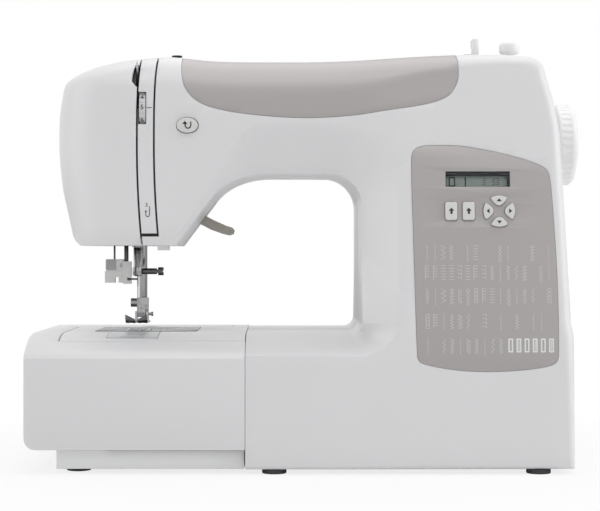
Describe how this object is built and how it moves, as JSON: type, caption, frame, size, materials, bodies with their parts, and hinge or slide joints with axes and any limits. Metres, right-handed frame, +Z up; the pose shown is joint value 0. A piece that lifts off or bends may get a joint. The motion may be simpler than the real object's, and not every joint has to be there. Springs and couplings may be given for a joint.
{
  "type": "sewing machine",
  "caption": "Electronic free-arm sewing machine with a side handwheel, a grey control panel of keys, a lift-off extension table and its whole stitch mechanism.",
  "frame": {"origin": "under the middle of the machine's box, on the surface that it stands on", "axes": "+Z up, -Y towards the operator, +X along the arm to the handwheel"},
  "size_m": [0.4, 0.178, 0.3156],
  "materials": {
    "white": "moulded white, slight gloss",
    "panel_grey": "satin metallic grey",
    "steel": "ground steel",
    "chrome": "polished",
    "casting": "die cast",
    "bronze": "sintered",
    "black_plastic": "black",
    "grey_plastic": "warm light grey",
    "rubber": "black",
    "clear": "clear plastic",
    "display": "grey-green display",
    "board": "green board"
  },
  "bodies": {
    "machine": {"front_cover": "white", "rear_cover": "white", "face_cover": "white", "threading_strip": "white", "arm_panel": "panel_grey", "control_panel": "panel_grey", "display_window": "clear", "display_module": "display", "tension_discs": "steel", "lamp": "white", "base_tray": "white", "rubber_feet": "rubber", "free_arm_cover": "white", "needle_plate": "steel", "plate_screws": "steel", "bobbin_cover": "clear", "bobbin_case": "black_plastic", "main_frame": "casting", "shaft_bushes": "bronze", "timing_belt": "rubber", "motor": "black_plastic", "motor_belt": "rubber", "presser_spring": "steel", "winder_stop": "white", "winding_tension": "black_plastic", "spool_pin": "white", "power_inlet": "black_plastic", "circuit_board": "board"},
    "left_key": {"left_key": "white"},
    "right_key": {"right_key": "white"},
    "up_key": {"up_arrow_key": "white"},
    "down_key": {"down_arrow_key": "white"},
    "backward_key": {"left_arrow_key": "white"},
    "forward_key": {"right_arrow_key": "white"},
    "reverse": {"reverse_button": "white"},
    "dial": {"tension_dial": "grey_plastic"},
    "table": {"extension_table": "white"},
    "lid": {"accessory_lid": "white"},
    "feed": {"feed_dog": "steel"},
    "hook": {"rotary_hook": "steel"},
    "bobbin_body": {"bobbin": "clear"},
    "main_drive": {"upper_shaft": "steel", "handwheel": "white"},
    "low_drive": {"lower_shaft": "steel"},
    "motor_drive": {"motor_pulley": "steel"},
    "bar_frame": {"needle_bar_frame": "casting"},
    "bar": {"needle_bar": "chrome", "needle_clamp_screw": "chrome", "needle": "chrome"},
    "take_up": {"take_up_lever": "steel"},
    "presser": {"presser_bar": "chrome", "foot_holder": "chrome"},
    "foot": {"presser_foot": "chrome"},
    "lifter": {"presser_lifter": "grey_plastic"},
    "threader": {"needle_threader": "white"},
    "threader_arm": {"threader_hook": "chrome"},
    "winder": {"winder_carrier": "casting"},
    "spindle": {"winder_spindle": "white"},
    "handle": {"carry_handle": "white"},
    "switch": {"power_switch": "black_plastic"}
  },
  "joints": [
    {"name": "left_key_press", "type": "slide", "parent": "machine", "child": "left_key", "axis": [0, 0.9917, -0.1287], "range_m": [0, 0.0008], "stiffness_N_per_m": 1200},
    {"name": "right_key_press", "type": "slide", "parent": "machine", "child": "right_key", "axis": [0, 0.9917, -0.1287], "range_m": [0, 0.0008], "stiffness_N_per_m": 1200},
    {"name": "up_key_press", "type": "slide", "parent": "machine", "child": "up_key", "axis": [0, 0.9917, -0.1287], "range_m": [0, 0.0008], "stiffness_N_per_m": 1200},
    {"name": "down_key_press", "type": "slide", "parent": "machine", "child": "down_key", "axis": [0, 0.9917, -0.1287], "range_m": [0, 0.0008], "stiffness_N_per_m": 1200},
    {"name": "backward_key_press", "type": "slide", "parent": "machine", "child": "backward_key", "axis": [0, 0.9917, -0.1287], "range_m": [0, 0.0008], "stiffness_N_per_m": 1200},
    {"name": "forward_key_press", "type": "slide", "parent": "machine", "child": "forward_key", "axis": [0, 0.9917, -0.1287], "range_m": [0, 0.0008], "stiffness_N_per_m": 1200},
    {"name": "reverse_press", "type": "slide", "parent": "machine", "child": "reverse", "axis": [0, 1, 0], "range_m": [0, 0.0015], "stiffness_N_per_m": 1200},
    {"name": "tension_dial_turn", "type": "hinge", "parent": "machine", "child": "dial", "pos_m": [-0.12, -0.05, 0.2555], "axis": [1, 0, 0], "range_deg": [-120, 120]},
    {"name": "table_slide", "type": "slide", "parent": "machine", "child": "table", "axis": [-1, 0, 0], "range_m": [0, 0.15]},
    {"name": "lid_hinge", "type": "hinge", "parent": "table", "child": "lid", "pos_m": [-0.123, 0.081, 0.095], "axis": [-1, 0, 0], "range_deg": [0, 100]},
    {"name": "feed_dog_drop", "type": "slide", "parent": "machine", "child": "feed", "axis": [0, 0, -1], "range_m": [0, 0.0025]},
    {"name": "handwheel_turn", "type": "hinge", "parent": "machine", "child": "main_drive", "pos_m": [0.06, -0.016, 0.2326], "axis": [1, 0, 0], "continuous": true},
    {"name": "lower_shaft_turn", "type": "hinge", "parent": "machine", "child": "low_drive", "pos_m": [0, -0.0345, 0.045], "axis": [1, 0, 0], "continuous": true},
    {"name": "hook_turn", "type": "hinge", "parent": "machine", "child": "hook", "pos_m": [-0.1275, -0.0345, 0.07], "axis": [0, 0, 1], "continuous": true},
    {"name": "motor_turn", "type": "hinge", "parent": "machine", "child": "motor_drive", "pos_m": [0.16, 0.035, 0.12], "axis": [1, 0, 0], "continuous": true},
    {"name": "bobbin_turn", "type": "hinge", "parent": "machine", "child": "bobbin_body", "pos_m": [-0.1275, -0.0345, 0.08], "axis": [0, 0, 1], "continuous": true},
    {"name": "needle_swing", "type": "hinge", "parent": "machine", "child": "bar_frame", "pos_m": [-0.1275, -0.009, 0.267], "axis": [0, 1, 0], "range_deg": [-1.1, 1.1]},
    {"name": "needle_stroke", "type": "slide", "parent": "bar_frame", "child": "bar", "axis": [0, 0, 1], "range_m": [-0.0315, 0]},
    {"name": "take_up_swing", "type": "hinge", "parent": "machine", "child": "take_up", "pos_m": [-0.122, -0.024, 0.262], "axis": [1, 0, 0], "range_deg": [0, 70]},
    {"name": "lifter_swing", "type": "hinge", "parent": "machine", "child": "lifter", "pos_m": [-0.112, 0.03, 0.186], "axis": [0, 1, 0], "range_deg": [0, 35]},
    {"name": "presser_slide", "type": "slide", "parent": "machine", "child": "presser", "axis": [0, 0, 1], "range_m": [-0.005, 0], "deforming": ["presser_spring"]},
    {"name": "foot_tilt", "type": "hinge", "parent": "presser", "child": "foot", "pos_m": [-0.1275, -0.004, 0.108], "axis": [-1, 0, 0], "range_deg": [0, 4]},
    {"name": "threader_slide", "type": "slide", "parent": "machine", "child": "threader", "axis": [0, 0, 1], "range_m": [-0.02, 0]},
    {"name": "threader_hook_swing", "type": "hinge", "parent": "threader", "child": "threader_arm", "pos_m": [-0.133, -0.0242, 0.133], "axis": [0, 0, 1], "range_deg": [0, 69]},
    {"name": "winder_engage", "type": "slide", "parent": "machine", "child": "winder", "axis": [1, 0, 0], "range_m": [0, 0.008]},
    {"name": "winder_spin", "type": "hinge", "parent": "winder", "child": "spindle", "pos_m": [0.124, 0.014, 0.3], "axis": [0, 0, 1], "continuous": true},
    {"name": "handle_swing", "type": "hinge", "parent": "machine", "child": "handle", "pos_m": [0.049, 0.019, 0.2865], "axis": [1, 0, 0], "range_deg": [0, 90]},
    {"name": "power_rocker", "type": "hinge", "parent": "machine", "child": "switch", "pos_m": [0.176, 0.04, 0.073], "axis": [0, 1, 0], "range_deg": [-6, 6]}
  ],
  "couplings": [
    {"joint": "lower_shaft_turn", "follows": "handwheel_turn", "ratio": 1},
    {"joint": "hook_turn", "follows": "handwheel_turn", "ratio": -2},
    {"joint": "motor_turn", "follows": "handwheel_turn", "ratio": 4.6885},
    {"joint": "lifter_swing", "follows": "presser_slide", "rad_per_m": -122.17}
  ]
}
